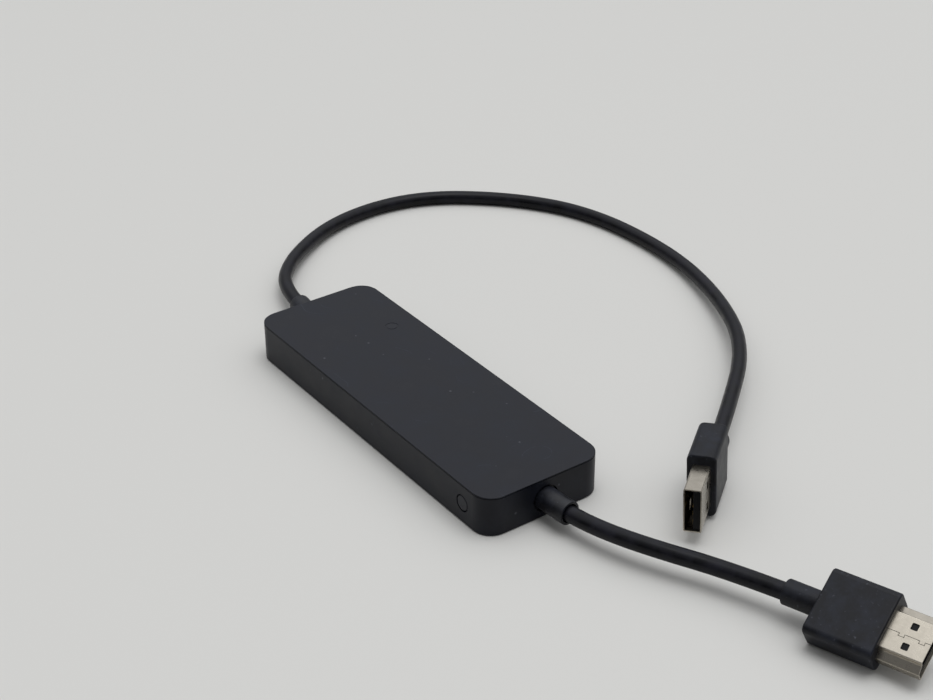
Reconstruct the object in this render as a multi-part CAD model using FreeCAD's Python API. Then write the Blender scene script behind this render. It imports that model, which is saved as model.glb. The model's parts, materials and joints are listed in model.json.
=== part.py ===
import FreeCAD, Part
import math
import os

from FreeCAD import Placement, Rotation, Vector

os.makedirs("parts", exist_ok=True)

# Wireless display adapter: a flat box with a screen cord at its +X end and a power cord at its -X end.
# Millimetres, +Z up. The origin is under the middle of the box, on the surface that it lies on.

# Used by several pieces
part_gap = 0.05
least_round = 0.05
cut_through = 1.0
same_place = 1e-4

# The box
box_length = 110.0
box_width = 36.8
box_height = 11.5
corner_radius = 5.5
wall = 1.5
floor_thickness = 1.4
bottom_round = 0.6
cover_thickness = 1.3
cover_edge = 0.3
cover_edge_round = 0.15
seam_height = 0.2
seam_depth = 0.3
lip_height = 1.5
lip_thickness = 1.0
lip_clearance = 0.05
lip_notch_depth = 2.0
clip_length = 4.0
clip_height = 0.7
clip_depth = 0.45
clip_spacing = 56.0
clip_play = 0.1
label_length = 62.0
label_width = 20.0
label_depth = 0.2

# The button and its switch
button_diameter = 4.2
button_gap = 0.28
button_from_end = 9.9
button_flange = 0.6
button_flange_overhang = 0.8
button_round = 0.25
button_travel = 0.35
switch_length = 4.2
switch_depth = 3.4
switch_height = 3.0
switch_round = 0.3
plunger_diameter = 1.8
plunger_seat = 1.2

# The status window in the cover
window_diameter = 2.8
window_groove_diameter = 3.9
window_groove_depth = 0.06
window_from_end = 26.0
window_from_side = 8.2
window_flange = 0.6
led_length = 1.6
led_width = 1.0
led_height = 0.8

# The circuit board and what is on it
board_thickness = 1.0
board_height = 3.4
board_side_gap = 1.4
board_end_gap = 7.5
board_corner = 1.0
post_diameter = 4.4
post_from_end = 9.5
post_from_side = 3.2
screw_diameter = 2.0
screw_length = 2.8
screw_head_diameter = 3.6
screw_head_height = 1.2
screw_slot = 0.6
screw_slot_length = 2.4
screw_hole_play = 0.1
chip_edge = 0.12
processor_size = 14.0
processor_height = 1.2
processor_x = 2.0
processor_y = 1.0
pad_margin = 0.5
pad_thickness = 0.5
sink_base = 1.0
sink_fins = 6
sink_fin_thickness = 0.9
sink_top_gap = 0.4
memory_length = 8.0
memory_width = 11.5
memory_height = 1.0
memory_spacing = 13.5
flash_y = 7.0
flash_length = 8.0
flash_width = 6.0
flash_height = 1.2
driver_size = 6.0
driver_height = 0.9
radio_size = 6.5
radio_height = 0.9
shield_length = 18.0
shield_width = 15.0
shield_height = 2.4
shield_sheet = 0.25
shield_skirt = 1.2
shield_hole_diameter = 1.0
shield_hole_columns = 5
shield_hole_pitch = 3.0
shield_hole_row_spacing = 6.0
shield_y = -4.5
antenna_length = 15.0
antenna_width = 3.0
antenna_height = 3.2
antenna_sheet = 0.4
antenna_leg_width = 0.8
antenna_leg_spacing = 3.35
antenna_gap = 4.7
antenna_side_gap = 0.4
supply_gap = 1.5
regulator_size = 4.5
regulator_height = 1.3
inductor_size = 4.4
inductor_height = 2.4
inductor_gap = 0.8
inductor_core = 2.2
inductor_ring = 3.1
inductor_ring_depth = 0.2
capacitor_x = -3.0
capacitor_from_edge = 3.2
capacitor_diameter = 4.0
capacitor_height = 4.4
capacitor_base = 0.8
capacitor_base_overhang = 0.15
capacitor_round = 0.3
capacitor_spacing = 5.0
crystal_y = -9.2
crystal_length = 5.0
crystal_width = 3.2
crystal_height = 1.1
crystal_round = 0.4
passive_length = 1.6
passive_width = 0.8
passive_height = 0.6
passive_spacing = 2.4
passive_gap = 0.4
short_row_length = 12.4
long_row_length = 22.4

# The strain reliefs at both ends of the box
exit_height = 5.5
screen_cord_diameter = 4.3
power_cord_diameter = 4.1
screen_collar_diameter = 6.4
power_collar_diameter = 6.2
collar_length = 8.3
collar_round = 0.5
mouth_play = 0.35
mouth_depth = 5.3
recess_diameter = 7.6
recess_depth = 0.8
relief_flange_overhang = 0.6
relief_flange = 1.2
relief_neck = 1.4
relief_neck_cut = 0.5
relief_tail_overhang = 0.4
relief_tail = 1.2
rib_width = 12.0
clamp_length = 1.5
clamp_sheet = 0.4
clamp_leg_length = 1.8
clamp_leg_width = 1.2
cord_end_gap = 0.5
wire_diameter = 0.6
wire_play = 0.02
screen_pad_row = 7.0
power_pad_row = 4.5
wire_pitch_at_board = 1.3
wire_reach = 6.2
wire_first_bend = 1.8
wire_second_bend = 4.4

# The cords, as points along their routes, each joined to the next by straight runs and tangent arcs
arc_share = 0.45
screen_cord_points = [
    Vector(48.0, 0.0, 5.5),
    Vector(66.5, 0.0, 5.5),
    Vector(84.5, 6.0, 6.6),
    Vector(106.6, 17.7, 6.44),
    Vector(130.0, 24.6, 7.44),
]
power_cord_points = [
    Vector(-48.0, 0.0, 5.5),
    Vector(-71.5, 0.0, 5.5),
    Vector(-93.0, 13.6, 3.6),
    Vector(-109.8, 41.0, 2.2),
    Vector(-109.2, 71.8, 2.1),
    Vector(-89.5, 96.9, 2.1),
    Vector(-65.0, 111.6, 2.1),
    Vector(-28.5, 114.0, 2.3),
    Vector(3.0, 104.8, 4.2),
    Vector(31.0, 87.9, 7.0),
    Vector(55.0, 60.2, 8.0),
    Vector(70.8, 39.6, 9.0),
]

# The screen plug, in its own frame: X out of its mouth from the grip's front face, +Z on its narrow face
screen_plug_roll = 30.0
screen_grip_length = 17.0
screen_grip_width = 17.2
screen_grip_height = 8.2
screen_grip_round = 1.6
screen_grip_end_round = 0.5
screen_sleeve_length = 8.8
screen_sleeve_diameter = 6.3
screen_sleeve_round = 0.15
screen_cord_in_grip = 4.0
screen_shell_out = 10.2
screen_shell_in = 9.0
screen_shell_width = 13.9
screen_shell_height = 4.45
screen_shell_narrow = 9.5
screen_shell_shoulder = 9.9
screen_shell_lower = 2.5
screen_shell_upper = 0.9
screen_shell_round = 0.35
shell_sheet = 0.35
screen_hole_size = 1.7
screen_hole_round = 0.3
screen_hole_x = 5.3
screen_hole_spacing = 5.1
seam_gap = 0.12
seam_locks = [2.75, 7.6]
lock_length = 1.35
lock_depth = 0.75
lock_flare = 0.1
screen_tongue_width = 11.4
screen_tongue_height = 1.9
screen_tongue_depth = 8.4
insert_recess = 0.5
screen_contacts = 10
screen_contact_pitch = 1.0
contact_width = 0.45
contact_thickness = 0.2
mould_round = 0.6
mould_margin = 1.0

# The power plug, in its own frame: X out of its mouth, its broad side upright
power_plug_roll = 3.3
power_grip_length = 16.4
power_grip_width = 17.4
power_grip_thickness = 7.5
power_grip_round = 1.7
power_grip_end_round = 0.5
power_sleeve_length = 6.8
power_sleeve_diameter = 6.2
power_sleeve_round = 0.5
power_cord_in_grip = 5.0
power_shell_out = 11.6
power_shell_in = 8.0
power_shell_width = 12.0
power_shell_thickness = 4.5
power_shell_round = 0.5
power_shell_sheet = 0.3
latch_hole_length = 2.0
latch_hole_width = 2.5
latch_hole_x = 3.9
latch_hole_spacing = 6.0
power_tongue_thickness = 1.9
power_contacts = 4
power_contact_pitch = 2.2
power_contact_width = 1.2
power_contact_length = 7.0

# Heights and places that follow from the sizes above
tray_height = box_height - cover_edge - seam_height
cover_underside = box_height - cover_thickness
board_top = board_height + board_thickness
board_length = box_length - 2 * board_end_gap
board_width = box_width - 2 * wall - 2 * board_side_gap
button_x = box_length / 2 - button_from_end
button_z = board_top + switch_height / 2
wall_inside_y = -box_width / 2 + wall
button_hole_diameter = button_diameter + 2 * button_gap
button_inner_y = wall_inside_y + part_gap + button_flange
switch_y = button_inner_y + part_gap + button_travel + part_gap
cord_end = board_length / 2 + cord_end_gap
post_x = board_length / 2 - post_from_end
post_y = board_width / 2 - post_from_side
antenna_x = -post_x + screw_head_diameter / 2 + antenna_gap + antenna_length / 2
window_x = -box_length / 2 + window_from_end
window_y = box_width / 2 - window_from_side

# Along the board, the groups between the wires and the processor stand with equal spaces
wires_end = cord_end - wire_reach
row_width = passive_gap + passive_length
shield_outside = shield_length + 2 * shield_sheet
memory_side = processor_x + processor_size / 2
memory_group = memory_length + row_width
driver_group = driver_size + 2 * row_width
memory_space = (wires_end - memory_side - memory_group - driver_group) / 3
memory_x = memory_side + memory_space + memory_length / 2
driver_x = wires_end - memory_space - driver_group / 2
supply_side = processor_x - processor_size / 2 - row_width
supply_space = (wires_end + supply_side - shield_outside - regulator_size) / 3
shield_x = supply_side - supply_space - shield_outside / 2
supply_x = -wires_end + supply_space + regulator_size / 2

# Across the board, the regulator and the two inductors stand in a column in the middle
supply_column = regulator_size + supply_gap + 2 * inductor_size + inductor_gap
regulator_y = (regulator_size - supply_column) / 2
first_inductor_y = regulator_y + regulator_size / 2 + supply_gap + inductor_size / 2
second_inductor_y = first_inductor_y + inductor_size + inductor_gap


def box(x0, x1, y0, y1, z0, z1):
    return Part.makeBox(x1 - x0, y1 - y0, z1 - z0, Vector(x0, y0, z0))


def centred_box(x, y, length, width, z0, height):
    return box(x - length / 2, x + length / 2, y - width / 2, y + width / 2, z0, z0 + height)


def edges_along(shape, direction):
    found = []
    for edge in shape.Edges:
        if edge.Curve.TypeId != "Part::GeomLine":
            continue
        if abs(edge.tangentAt(edge.FirstParameter).dot(direction)) > 0.999:
            found.append(edge)
    return found


def edges_at_height(shape, height):
    sized = [(edge, edge.BoundBox) for edge in shape.Edges]
    return [e for e, b in sized if abs(b.ZMin - height) < same_place and abs(b.ZMax - height) < same_place]


def edges_at_x(shape, x):
    sized = [(edge, edge.BoundBox) for edge in shape.Edges]
    return [e for e, b in sized if abs(b.XMin - x) < same_place and abs(b.XMax - x) < same_place]


def rounded_slab(length, width, z0, z1, radius):
    slab = centred_box(0, 0, length, width, z0, z1 - z0)
    return slab.makeFillet(radius, edges_along(slab, Vector(0, 0, 1)))


def box_outline(inset, z0, z1):
    return rounded_slab(box_length - 2 * inset, box_width - 2 * inset, z0, z1, corner_radius - inset)


def rod(diameter, start, end):
    return Part.makeCylinder(diameter / 2, (end - start).Length, start, end - start)


def joined(shapes):
    whole = shapes[0]
    for shape in shapes[1:]:
        whole = whole.fuse(shape)
    return whole.removeSplitter()


def tube(points, diameter):
    """A round tube along straight runs joined by tangent arcs, and the arcs' radii and the route's length."""
    edges = []
    radii = []
    start = points[0]
    for before, corner, after in zip(points, points[1:], points[2:]):
        back = before - corner
        ahead = after - corner
        turn = math.pi - back.getAngle(ahead)
        reach = arc_share * min(back.Length, ahead.Length)
        radius = reach / math.tan(turn / 2)
        back.normalize()
        ahead.normalize()
        inward = (back + ahead).normalize()
        arc_start = corner + back * reach
        arc_end = corner + ahead * reach
        arc_middle = corner + inward * (radius / math.cos(turn / 2) - radius)
        edges.append(Part.LineSegment(start, arc_start).toShape())
        edges.append(Part.Arc(arc_start, arc_middle, arc_end).toShape())
        radii.append(radius)
        start = arc_end
    edges.append(Part.LineSegment(start, points[-1]).toShape())
    path = Part.Wire(edges)
    ring = Part.Wire(Part.makeCircle(diameter / 2, points[0], points[1] - points[0]))
    return path.makePipeShell([ring], True, False), radii, path.Length


def save(name, shape):
    if not shape.isValid():
        print("not valid:", name)
    shape.exportStep("parts/" + name + ".step")


def bottom_tray():
    tray = box_outline(0, 0, tray_height)
    tray = tray.makeFillet(bottom_round, edges_at_height(tray, 0))
    tray = tray.cut(box_outline(wall, floor_thickness, tray_height))
    for side in (-1, 1):
        for x in (-post_x, post_x):
            foot = Vector(x, side * post_y, floor_thickness)
            tray = tray.fuse(rod(post_diameter, foot, foot + Vector(0, 0, board_height - floor_thickness)))
    for side, collar in ((1, screen_collar_diameter), (-1, power_collar_diameter)):
        tray = tray.fuse(relief_rib(side, collar))
    for side in (-1, 1):
        for x in (-post_x, post_x):
            top = Vector(x, side * post_y, board_height)
            tray = tray.cut(rod(screw_diameter, top, top - Vector(0, 0, screw_length - board_thickness)))
    through = wall + 2 * cut_through
    axis = Vector(box_length / 2 - wall - cut_through, 0, exit_height)
    tray = tray.cut(rod(screen_collar_diameter, axis, axis + Vector(through, 0, 0)))
    face = Vector(box_length / 2 - recess_depth, 0, exit_height)
    tray = tray.cut(rod(recess_diameter, face, face + Vector(recess_depth + cut_through, 0, 0)))
    axis = Vector(-box_length / 2 + wall + cut_through, 0, exit_height)
    tray = tray.cut(rod(power_collar_diameter, axis, axis - Vector(through, 0, 0)))
    hole = Vector(button_x, -box_width / 2 - cut_through, button_z)
    tray = tray.cut(rod(button_hole_diameter, hole, hole + Vector(0, through, 0)))
    for x, side in clip_places():
        tray = tray.cut(clip(x, side, clip_play, part_gap))
    return tray.cut(centred_box(0, 0, label_length, label_width, 0, label_depth))


def relief_rib(side, collar):
    """The upright rib inside an end wall whose slot holds the strain relief's neck."""
    outer = box_length / 2 - wall - relief_flange
    inner = outer - relief_neck
    top = exit_height + collar / 2 - relief_neck_cut
    x0, x1 = sorted((side * inner, side * outer))
    rib = box(x0, x1, -rib_width / 2, rib_width / 2, floor_thickness, top)
    neck = collar - 2 * relief_neck_cut
    middle = Vector(x0, 0, exit_height)
    rib = rib.cut(rod(neck, middle, middle + Vector(relief_neck, 0, 0)))
    return rib.cut(box(x0, x1, -neck / 2, neck / 2, exit_height, top))


def clip_places():
    return [(x, side) for x in (-clip_spacing / 2, 0, clip_spacing / 2) for side in (-1, 1)]


def clip(x, side, play, extra_depth):
    """A clip on the cover's lip, or its pocket in the tray's wall where it gets some play."""
    lip_outside = box_width / 2 - wall - lip_clearance
    y0, y1 = sorted((side * lip_outside, side * (lip_outside + clip_depth + extra_depth)))
    z0 = tray_height - lip_height
    return box(x - clip_length / 2 - play, x + clip_length / 2 + play, y0, y1, z0, z0 + clip_height + play)


def top_cover():
    plate = box_outline(0, tray_height + seam_height, box_height)
    plate = plate.makeFillet(cover_edge_round, edges_at_height(plate, box_height))
    step = box_outline(seam_depth, tray_height, tray_height + seam_height)
    plug = box_outline(wall + lip_clearance, cover_underside, tray_height)
    lip = box_outline(wall + lip_clearance, tray_height - lip_height, tray_height)
    lip = lip.cut(box_outline(wall + lip_clearance + lip_thickness, tray_height - lip_height, tray_height))
    for side in (-1, 1):
        middle = side * (box_length / 2 - wall)
        lip = lip.cut(centred_box(middle, 0, 2 * lip_notch_depth, rib_width, 0, cover_underside))
    cover = joined([plate, step, plug, lip] + [clip(x, side, 0, 0) for x, side in clip_places()])
    seat = Vector(window_x, window_y, cover_underside)
    face = seat + Vector(0, 0, cover_thickness)
    cover = cover.cut(rod(window_groove_diameter, face - Vector(0, 0, window_groove_depth), face))
    return cover.cut(rod(window_diameter, seat, face))


def status_window():
    seat = Vector(window_x, window_y, cover_underside)
    pipe = rod(window_diameter, seat, seat + Vector(0, 0, cover_thickness))
    flange = rod(window_diameter + 2 * window_flange, seat - Vector(0, 0, window_flange), seat)
    return joined([pipe, flange])


def side_button():
    outside = Vector(button_x, -box_width / 2, button_z)
    cap = rod(button_diameter, outside, Vector(button_x, button_inner_y, button_z))
    front = [e for e in cap.Edges if abs(e.BoundBox.YMax - outside.y) < same_place]
    cap = cap.makeFillet(button_round, front)
    inside = Vector(button_x, button_inner_y - button_flange, button_z)
    disc_diameter = button_hole_diameter + 2 * button_flange_overhang
    return joined([cap, rod(disc_diameter, inside, inside + Vector(0, button_flange, 0))])


def push_switch():
    body = box(button_x - switch_length / 2, button_x + switch_length / 2, switch_y, switch_y + switch_depth,
               board_top, board_top + switch_height)
    body = body.makeFillet(switch_round, edges_along(body, Vector(0, 1, 0)))
    mouth = Vector(button_x, switch_y, button_z)
    well = plunger_seat + button_travel + 2 * part_gap
    return body.cut(rod(plunger_diameter + 2 * part_gap, mouth, mouth + Vector(0, well, 0)))


def switch_plunger():
    start = Vector(button_x, button_inner_y + part_gap, button_z)
    return rod(plunger_diameter, start, Vector(button_x, switch_y + plunger_seat, button_z))


def circuit_board():
    board = rounded_slab(board_length, board_width, board_height, board_top, board_corner)
    diameter = screw_diameter + 2 * screw_hole_play
    for side in (-1, 1):
        for x in (-post_x, post_x):
            hole = Vector(x, side * post_y, board_height)
            board = board.cut(rod(diameter, hole, hole + Vector(0, 0, board_thickness)))
    return board


def board_screw(x, y):
    seat = Vector(x, y, board_top)
    head_top = seat + Vector(0, 0, screw_head_height)
    head = rod(screw_head_diameter, seat, head_top)
    head = head.makeFillet(screw_head_height / 2, edges_at_height(head, head_top.z))
    shank = rod(screw_diameter, seat - Vector(0, 0, screw_length), seat)
    screw = joined([head, shank])
    for length, width in ((screw_slot_length, screw_slot), (screw_slot, screw_slot_length)):
        screw = screw.cut(centred_box(x, y, length, width, head_top.z - screw_slot, screw_slot))
    return screw


def board_screws():
    places = [(x, y) for x in (-post_x, post_x) for y in (-post_y, post_y)]
    return Part.makeCompound([board_screw(x, y) for x, y in places])


def chip(x, y, length, width, height):
    body = centred_box(x, y, length, width, board_top, height)
    return body.makeChamfer(chip_edge, edges_at_height(body, board_top + height))


def thermal_pad():
    size = processor_size - 2 * pad_margin
    return centred_box(processor_x, processor_y, size, size, board_top + processor_height, pad_thickness)


def heat_sink():
    foot = board_top + processor_height + pad_thickness
    top = cover_underside - sink_top_gap
    sink = centred_box(processor_x, processor_y, processor_size, processor_size, foot, top - foot)
    pitch = (processor_size - sink_fin_thickness) / (sink_fins - 1)
    first = processor_y - processor_size / 2
    for k in range(sink_fins - 1):
        y0 = first + k * pitch + sink_fin_thickness
        y1 = first + (k + 1) * pitch
        x0 = processor_x - processor_size / 2
        sink = sink.cut(box(x0, x0 + processor_size, y0, y1, foot + sink_base, top))
    return sink


def memory_chips():
    sides = (-memory_spacing / 2, memory_spacing / 2)
    return Part.makeCompound([chip(memory_x, y, memory_length, memory_width, memory_height) for y in sides])


def shield_frame():
    height = shield_height - shield_sheet
    outer = centred_box(shield_x, shield_y, shield_length, shield_width, board_top, height)
    inner_length = shield_length - 2 * shield_sheet
    inner_width = shield_width - 2 * shield_sheet
    return outer.cut(centred_box(shield_x, shield_y, inner_length, inner_width, board_top, height))


def shield_can():
    """A lid of thin sheet over the frame, with two rows of round holes."""
    length = shield_length + 2 * shield_sheet
    width = shield_width + 2 * shield_sheet
    top = board_top + shield_height
    can = centred_box(shield_x, shield_y, length, width, top - shield_skirt, shield_skirt)
    inside = centred_box(shield_x, shield_y, shield_length, shield_width, top - shield_skirt,
                         shield_skirt - shield_sheet)
    can = can.cut(inside)
    for k in range(shield_hole_columns):
        x = shield_x + (k - (shield_hole_columns - 1) / 2) * shield_hole_pitch
        for side in (-1, 1):
            hole = Vector(x, shield_y + side * shield_hole_row_spacing / 2, top - shield_sheet)
            can = can.cut(rod(shield_hole_diameter, hole, hole + Vector(0, 0, shield_sheet)))
    return can


def antenna(side):
    """A bent strip standing on the board's edge on two legs."""
    y = side * (board_width / 2 - antenna_side_gap - antenna_width / 2)
    top = board_top + antenna_height
    strip = centred_box(antenna_x, y, antenna_length, antenna_width, top - antenna_sheet, antenna_sheet)
    edge = side * (board_width / 2 - antenna_side_gap - antenna_sheet / 2)
    end = antenna_x + antenna_length / 2 - antenna_leg_width / 2
    legs = []
    for x in (end, end - antenna_leg_spacing):
        legs.append(centred_box(x, edge, antenna_leg_width, antenna_sheet, board_top, antenna_height))
    return joined([strip] + legs)


def power_inductors():
    """Two square ferrite coils with a round core showing in the top."""
    coils = []
    for y in (first_inductor_y, second_inductor_y):
        coil = chip(supply_x, y, inductor_size, inductor_size, inductor_height)
        top = Vector(supply_x, y, board_top + inductor_height)
        low = top - Vector(0, 0, inductor_ring_depth)
        groove = rod(inductor_ring, low, top).cut(rod(inductor_core, low, top))
        coils.append(coil.cut(groove))
    return Part.makeCompound(coils)


def bulk_capacitors():
    """Three round cans on square bases in a row along the board's far edge."""
    cans = []
    y = board_width / 2 - capacitor_from_edge
    size = capacitor_diameter + 2 * capacitor_base_overhang
    for k in (-1, 0, 1):
        x = capacitor_x + k * capacitor_spacing
        base = centred_box(x, y, size, size, board_top, capacitor_base)
        foot = Vector(x, y, board_top + capacitor_base)
        can = rod(capacitor_diameter, foot, Vector(x, y, board_top + capacitor_height))
        can = can.makeFillet(capacitor_round, edges_at_height(can, board_top + capacitor_height))
        cans.append(joined([base, can]))
    return Part.makeCompound(cans)


def crystal():
    can = centred_box(processor_x, crystal_y, crystal_length, crystal_width, board_top, crystal_height)
    return can.makeFillet(crystal_round, edges_at_height(can, board_top + crystal_height))


def small_passives():
    """Rows of small resistors and capacitors beside the processor, the driver and the flash chip."""
    pieces = []
    off = passive_gap + passive_length / 2
    rows = [
        (processor_x - processor_size / 2 - off, processor_y, short_row_length),
        (driver_x - driver_size / 2 - off, 0, short_row_length),
        (driver_x + driver_size / 2 + off, 0, short_row_length),
        (memory_x + memory_length / 2 + off, 0, long_row_length),
    ]
    for x, middle, row_length in rows:
        count = int(row_length / passive_spacing)
        for k in range(count):
            y = middle + (k - (count - 1) / 2) * passive_spacing
            pieces.append(centred_box(x, y, passive_length, passive_width, board_top, passive_height))
    return Part.makeCompound(pieces)


def strain_relief(side, collar, cord_diameter):
    """A moulded relief: collar outside, flange and tail inside, a neck between, and a bore that flares."""
    def at(x):
        return Vector(side * x, 0, exit_height)
    wall_in = box_length / 2 - wall
    neck_in = wall_in - relief_flange - relief_neck
    out = box_length / 2 + collar_length
    sleeve = rod(collar, at(wall_in - relief_flange), at(out))
    sleeve = sleeve.makeFillet(collar_round, edges_at_x(sleeve, side * out))
    flange = rod(collar + 2 * relief_flange_overhang, at(wall_in - relief_flange), at(wall_in))
    neck = rod(collar - 2 * relief_neck_cut, at(neck_in), at(wall_in - relief_flange))
    tail = rod(collar + 2 * relief_tail_overhang, at(neck_in - relief_tail), at(neck_in))
    relief = joined([sleeve, flange, neck, tail])
    relief = relief.cut(rod(cord_diameter, at(neck_in - relief_tail - cut_through), at(out + cut_through)))
    direction = Vector(side, 0, 0)
    bore = cord_diameter / 2
    flare = Part.makeCone(bore, bore + mouth_play, mouth_depth, at(out - mouth_depth), direction)
    return relief.cut(flare)


def cord_clamp(side, cord_diameter):
    """A metal sleeve round the cord's inner end, with two legs that lie on the board."""
    end = Vector(side * cord_end, 0, exit_height)
    outer_end = end + Vector(side * clamp_length, 0, 0)
    sleeve = rod(cord_diameter + 2 * clamp_sheet, end, outer_end)
    legs = []
    for y in (-1, 1):
        x0, x1 = sorted((side * (cord_end - clamp_leg_length), side * (cord_end + clamp_length)))
        middle = y * (cord_diameter + clamp_sheet) / 2
        legs.append(box(x0, x1, middle - clamp_leg_width / 2, middle + clamp_leg_width / 2,
                        board_top, board_top + clamp_sheet))
    clamp = joined([sleeve] + legs)
    beyond = Vector(side * cut_through, 0, 0)
    return clamp.cut(rod(cord_diameter, end - beyond, outer_end + beyond))


def wire_ends(side, pad_row):
    """Thin wires that fan out from the cord's end to their row of pads on the board."""
    count = int(pad_row / wire_pitch_at_board) + 1
    wires = []
    lie = board_top + wire_diameter / 2
    for k in range(count):
        spread = k - (count - 1) / 2
        y0 = spread * (wire_diameter + wire_play)
        y1 = spread * wire_pitch_at_board
        route = [
            Vector(side * cord_end, y0, exit_height),
            Vector(side * (cord_end - wire_first_bend), y0, exit_height),
            Vector(side * (cord_end - wire_second_bend), y1, lie),
            Vector(side * (cord_end - wire_reach), y1, lie),
        ]
        wires.append(tube(route, wire_diameter)[0])
    return Part.makeCompound(wires)


def plug_placement(points, reach, roll):
    """The frame of a plug: on the cord's last run, reach beyond its end, turned about it by roll."""
    along = points[-1] - points[-2]
    along.normalize()
    yaw = math.degrees(math.atan2(along.y, along.x))
    pitch = -math.degrees(math.asin(along.z))
    return Placement(points[-1] + along * reach, Rotation(yaw, pitch, roll))


def placed(shape, placement):
    moved = shape.copy()
    moved.Placement = placement
    return moved


def grip(length, width, height, edge, end_round, sleeve_length, sleeve_diameter, sleeve_round):
    """A soft moulded grip that ends at X = 0, with a round sleeve for the cord behind it."""
    body = box(-length, 0, -width / 2, width / 2, -height / 2, height / 2)
    body = body.makeFillet(edge, edges_along(body, Vector(1, 0, 0)))
    body = body.makeFillet(end_round, edges_at_x(body, -length) + edges_at_x(body, 0))
    sleeve = rod(sleeve_diameter, Vector(-length - sleeve_length, 0, 0), Vector(-length + edge, 0, 0))
    sleeve = sleeve.makeFillet(sleeve_round, edges_at_x(sleeve, -length - sleeve_length))
    return joined([body, sleeve])


def screen_shell_profile():
    """The shell's outer section: a wide lower part, a sloped shoulder and a narrow upper face."""
    low = -screen_shell_height / 2
    half = [
        (screen_shell_width / 2, low),
        (screen_shell_width / 2, low + screen_shell_lower),
        (screen_shell_shoulder / 2, -low - screen_shell_upper),
        (screen_shell_narrow / 2, -low),
    ]
    outline = half + [(-y, z) for y, z in reversed(half)]
    return Part.makePolygon([Vector(0, y, z) for y, z in outline + outline[:1]])


def screen_shell_solid(inset, x0, x1):
    section = Part.Face(screen_shell_profile())
    if inset:
        section = section.makeOffset2D(-inset, 2)
    solid = section.extrude(Vector(x1 - x0, 0, 0))
    solid.translate(Vector(x0, 0, 0))
    return solid.makeFillet(max(screen_shell_round - inset, least_round), edges_along(solid, Vector(1, 0, 0)))


def screen_shell():
    shell = screen_shell_solid(0, -screen_shell_in, screen_shell_out)
    shell = shell.cut(screen_shell_solid(shell_sheet, -screen_shell_in, screen_shell_out))
    top = screen_shell_height / 2
    for side in (-1, 1):
        y = side * screen_hole_spacing / 2
        hole = centred_box(screen_hole_x, y, screen_hole_size, screen_hole_size, top - 2 * shell_sheet,
                           2 * shell_sheet)
        shell = shell.cut(hole.makeFillet(screen_hole_round, edges_along(hole, Vector(0, 0, 1))))
    slot = box(-screen_shell_in, screen_shell_out, -seam_gap / 2, seam_gap / 2, 0, top)
    for x in seam_locks:
        tab = Part.makePolygon([
            Vector(x, 0, 0),
            Vector(x - lock_flare, -lock_depth, 0),
            Vector(x + lock_length + lock_flare, -lock_depth, 0),
            Vector(x + lock_length, 0, 0),
            Vector(x, 0, 0),
        ])
        outer = Part.Face(tab)
        inner = outer.makeOffset2D(-seam_gap, 2)
        slot = slot.cut(box(x, x + lock_length, -seam_gap, seam_gap, 0, top))
        slot = slot.fuse(outer.cut(inner).extrude(Vector(0, 0, top)))
        slot = slot.cut(box(x + seam_gap, x + lock_length - seam_gap, -seam_gap, seam_gap, 0, top))
    return shell.cut(slot)


def screen_insert():
    """The dark block inside the shell, with the slot that the socket's tongue enters."""
    front = screen_shell_out - insert_recess
    block = screen_shell_solid(shell_sheet, -screen_shell_in, front)
    width = screen_tongue_width / 2
    height = screen_tongue_height / 2
    block = block.cut(box(front - screen_tongue_depth, front, -width, width, -height, height))
    for y, z in screen_contact_places():
        block = block.cut(screen_contact(y, z))
    return block


def screen_contact_places():
    places = []
    for row, count in ((1, screen_contacts), (-1, screen_contacts - 1)):
        for k in range(count):
            places.append(((k - (count - 1) / 2) * screen_contact_pitch, row * screen_tongue_height / 2))
    return places


def screen_contact(y, z):
    """One contact strip, let into the slot's wall so that half of its thickness stands proud."""
    front = screen_shell_out - insert_recess - contact_width
    back = screen_shell_out - insert_recess - screen_tongue_depth
    z0 = z - contact_thickness / 2
    return box(back, front, y - contact_width / 2, y + contact_width / 2, z0, z0 + contact_thickness)


def screen_contact_set():
    return Part.makeCompound([screen_contact(y, z) for y, z in screen_contact_places()])


def inner_mould(x0, x1, width, height):
    block = box(x0, x1, -width / 2, width / 2, -height / 2, height / 2)
    return block.makeFillet(mould_round, edges_along(block, Vector(1, 0, 0)))


def screen_inner_mould():
    x0 = -screen_grip_length + screen_cord_in_grip
    return inner_mould(x0, -screen_shell_in, screen_shell_narrow, screen_shell_height)


def screen_grip():
    body = grip(screen_grip_length, screen_grip_width, screen_grip_height, screen_grip_round,
                screen_grip_end_round, screen_sleeve_length, screen_sleeve_diameter, screen_sleeve_round)
    body = body.cut(screen_shell_solid(0, -screen_shell_in, 0))
    body = body.cut(screen_inner_mould())
    back = -screen_grip_length - screen_sleeve_length
    bore_end = -screen_grip_length + screen_cord_in_grip
    return body.cut(rod(screen_cord_diameter, Vector(back, 0, 0), Vector(bore_end, 0, 0)))


def power_shell_solid(inset, x0, x1):
    thickness = power_shell_thickness / 2 - inset
    width = power_shell_width / 2 - inset
    solid = box(x0, x1, -thickness, thickness, -width, width)
    return solid.makeFillet(max(power_shell_round - inset, least_round), edges_along(solid, Vector(1, 0, 0)))


def power_shell():
    shell = power_shell_solid(0, -power_shell_in, power_shell_out)
    shell = shell.cut(power_shell_solid(power_shell_sheet, -power_shell_in, power_shell_out))
    for z in (-latch_hole_spacing / 2, latch_hole_spacing / 2):
        hole = box(latch_hole_x - latch_hole_length / 2, latch_hole_x + latch_hole_length / 2,
                   -power_shell_thickness / 2, power_shell_thickness / 2,
                   z - latch_hole_width / 2, z + latch_hole_width / 2)
        shell = shell.cut(hole)
    return shell


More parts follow.
